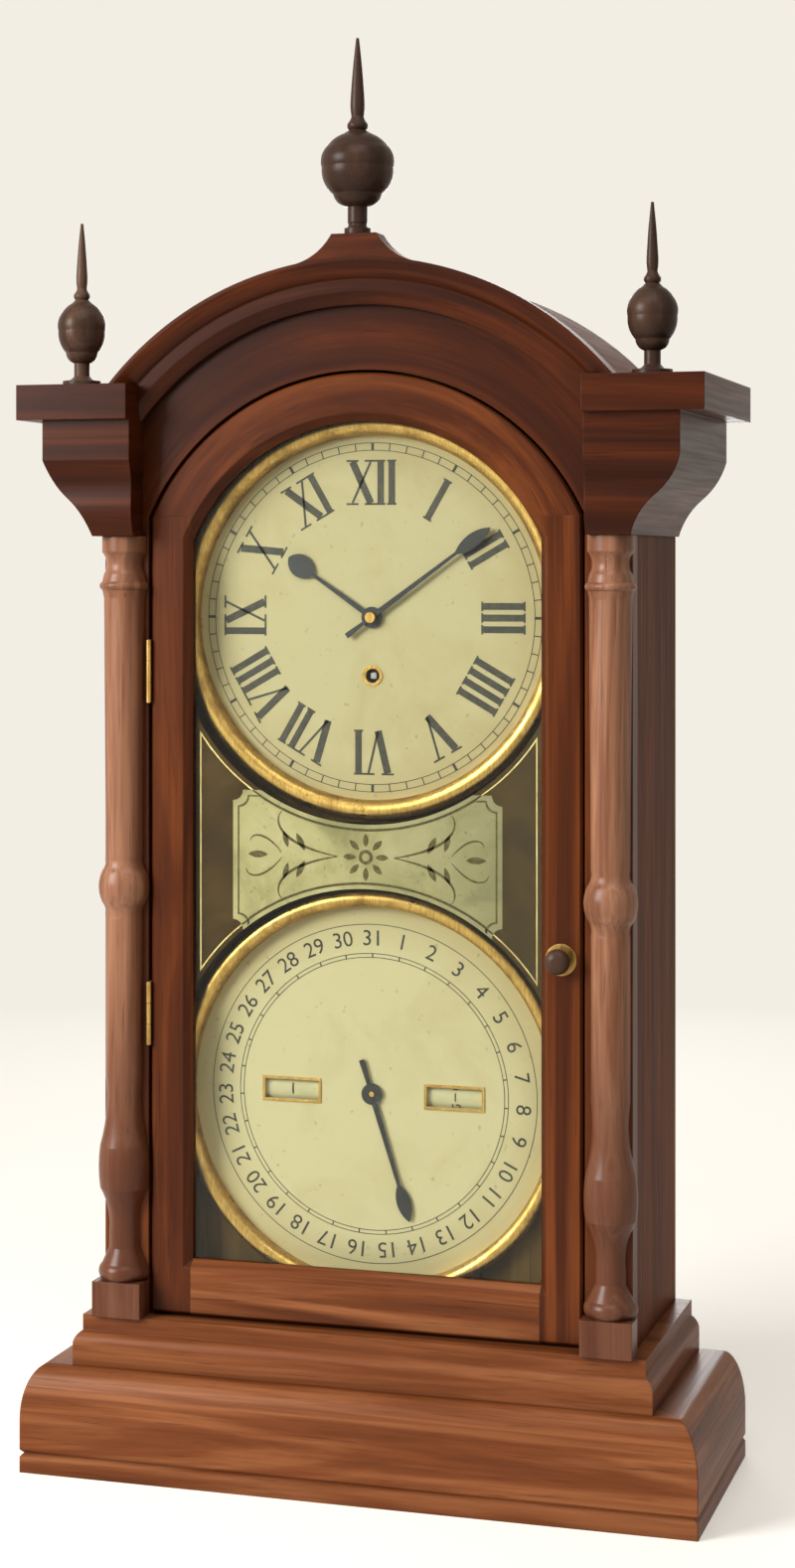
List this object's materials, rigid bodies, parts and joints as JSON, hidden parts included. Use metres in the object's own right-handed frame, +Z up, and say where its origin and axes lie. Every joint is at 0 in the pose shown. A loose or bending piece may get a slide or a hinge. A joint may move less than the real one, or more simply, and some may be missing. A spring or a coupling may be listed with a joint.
{
  "type": "shelf clock",
  "caption": "Arched wooden shelf clock with a glazed hinged door, time dial over calendar dial, turned columns and finials, geared hands, wound movement and pendulum.",
  "frame": {"origin": "middle of the footprint, on the surface the clock stands on", "axes": "+X to the viewer's right, +Y from the front to the back, +Z up"},
  "size_m": [0.396, 0.148, 0.808],
  "materials": {
    "case_wood": "polished",
    "door_wood": "polished",
    "glass": "clear",
    "brass": "satin",
    "knob_wood": "polished",
    "steel": "satin",
    "dial_paint": "matt",
    "hand_paint": "satin"
  },
  "bodies": {
    "case": {"base_front_moulding": "case_wood", "base_side_mouldings": "case_wood", "base_board": "case_wood", "base_back_rail": "case_wood", "base_step": "case_wood", "side_boards": "case_wood", "back_board": "case_wood", "front_stiles": "case_wood", "arch_fascia": "case_wood", "arch_roof": "case_wood", "arch_moulding": "case_wood", "crest_block": "case_wood", "cornices": "case_wood", "columns": "case_wood", "centre_finial": "case_wood", "side_finials": "case_wood", "upper_dial_board": "case_wood", "lower_dial_board": "case_wood", "time_bezel": "case_wood", "case_hinge_leaves": "brass", "movement_front_plate": "brass", "movement_back_plate": "brass", "calendar_bezel": "brass", "suspension_cock": "brass", "calendar_bridge": "brass", "roller_frames": "brass", "hinge_pins": "steel", "movement_pillars": "steel", "time_dial": "dial_paint", "calendar_dial": "dial_paint"},
    "door": {"door_latch_stile": "door_wood", "door_hinge_stile": "door_wood", "door_bottom_rail": "door_wood", "door_arch_rail": "door_wood", "door_glass": "glass", "glass_bead": "door_wood", "door_hinge_leaves": "brass"},
    "latch": {"latch_knob": "knob_wood", "latch_tongue": "brass"},
    "minute_hand": {"minute_hand": "hand_paint", "hand_nut": "brass", "cannon_pinion": "brass"},
    "minute_wheel": {"minute_wheel": "brass"},
    "hour_hand": {"hour_hand": "hand_paint", "hour_wheel": "brass"},
    "escape_wheel": {"escape_wheel": "brass"},
    "third_wheel": {"third_wheel": "brass"},
    "centre_wheel": {"centre_wheel": "brass"},
    "barrel": {"barrel_wheel": "brass"},
    "winding_arbor": {"winding_arbor": "steel"},
    "click": {"click": "brass"},
    "pendulum": {"pallet_anchor": "steel", "pendulum_rod": "steel", "pendulum_bob": "brass", "rating_nut": "brass"},
    "date_hand": {"date_hand": "hand_paint", "date_wheel": "brass"},
    "weekday_roller": {"weekday_roller": "dial_paint"},
    "month_roller": {"month_roller": "dial_paint"}
  },
  "joints": [
    {"name": "door_swing", "type": "hinge", "parent": "case", "child": "door", "pos_m": [-0.12675, -0.0477, 0.36], "axis": [0, 0, -1], "range_deg": [0, 95]},
    {"name": "latch_turn", "type": "hinge", "parent": "door", "child": "latch", "pos_m": [0.114, -0.046, 0.3], "axis": [0, -1, 0], "range_deg": [0, 90]},
    {"name": "minute_hand_turn", "type": "hinge", "parent": "case", "child": "minute_hand", "pos_m": [0, -0.025, 0.486], "axis": [0, 1, 0], "continuous": true},
    {"name": "minute_wheel_turn", "type": "hinge", "parent": "case", "child": "minute_wheel", "pos_m": [-0.0168, -0.01, 0.486], "axis": [0, 1, 0], "continuous": true},
    {"name": "hour_hand_turn", "type": "hinge", "parent": "case", "child": "hour_hand", "pos_m": [0, -0.025, 0.486], "axis": [0, 1, 0], "continuous": true},
    {"name": "escape_wheel_turn", "type": "hinge", "parent": "case", "child": "escape_wheel", "pos_m": [0, 0.005, 0.51403], "axis": [0, 1, 0], "continuous": true},
    {"name": "third_wheel_turn", "type": "hinge", "parent": "case", "child": "third_wheel", "pos_m": [0.018, 0.005, 0.50531], "axis": [0, 1, 0], "continuous": true},
    {"name": "centre_wheel_turn", "type": "hinge", "parent": "case", "child": "centre_wheel", "pos_m": [0, 0.005, 0.486], "axis": [0, 1, 0], "continuous": true},
    {"name": "barrel_turn", "type": "hinge", "parent": "case", "child": "barrel", "pos_m": [0, 0.005, 0.453], "axis": [0, 1, 0], "continuous": true},
    {"name": "winding_turn", "type": "hinge", "parent": "case", "child": "winding_arbor", "pos_m": [0, 0.005, 0.453], "axis": [0, 1, 0], "continuous": true},
    {"name": "click_lift", "type": "hinge", "parent": "case", "child": "click", "pos_m": [0, 0.02, 0.469], "axis": [0, 1, 0], "range_deg": [0, 12]},
    {"name": "pendulum_swing", "type": "hinge", "parent": "case", "child": "pendulum", "pos_m": [0, 0.0272, 0.53691], "axis": [0, 1, 0], "range_deg": [-2.5, 2.5]},
    {"name": "date_hand_turn", "type": "hinge", "parent": "case", "child": "date_hand", "pos_m": [0, -0.025, 0.217], "axis": [0, 1, 0], "continuous": true},
    {"name": "weekday_roller_turn", "type": "hinge", "parent": "case", "child": "weekday_roller", "pos_m": [-0.048, -0.0114, 0.217], "axis": [1, 0, 0], "continuous": true},
    {"name": "month_roller_turn", "type": "hinge", "parent": "case", "child": "month_roller", "pos_m": [0.048, -0.0114, 0.217], "axis": [1, 0, 0], "continuous": true}
  ],
  "couplings": [
    {"joint": "minute_wheel_turn", "follows": "minute_hand_turn", "ratio": -0.33333},
    {"joint": "hour_hand_turn", "follows": "minute_hand_turn", "ratio": 0.083333},
    {"joint": "third_wheel_turn", "follows": "escape_wheel_turn", "ratio": -0.11111},
    {"joint": "centre_wheel_turn", "follows": "escape_wheel_turn", "ratio": 0.011111},
    {"joint": "barrel_turn", "follows": "escape_wheel_turn", "ratio": -0.0011111},
    {"joint": "weekday_roller_turn", "follows": "date_hand_turn", "ratio": 4.4286},
    {"joint": "month_roller_turn", "follows": "date_hand_turn", "ratio": 0.083333}
  ]
}
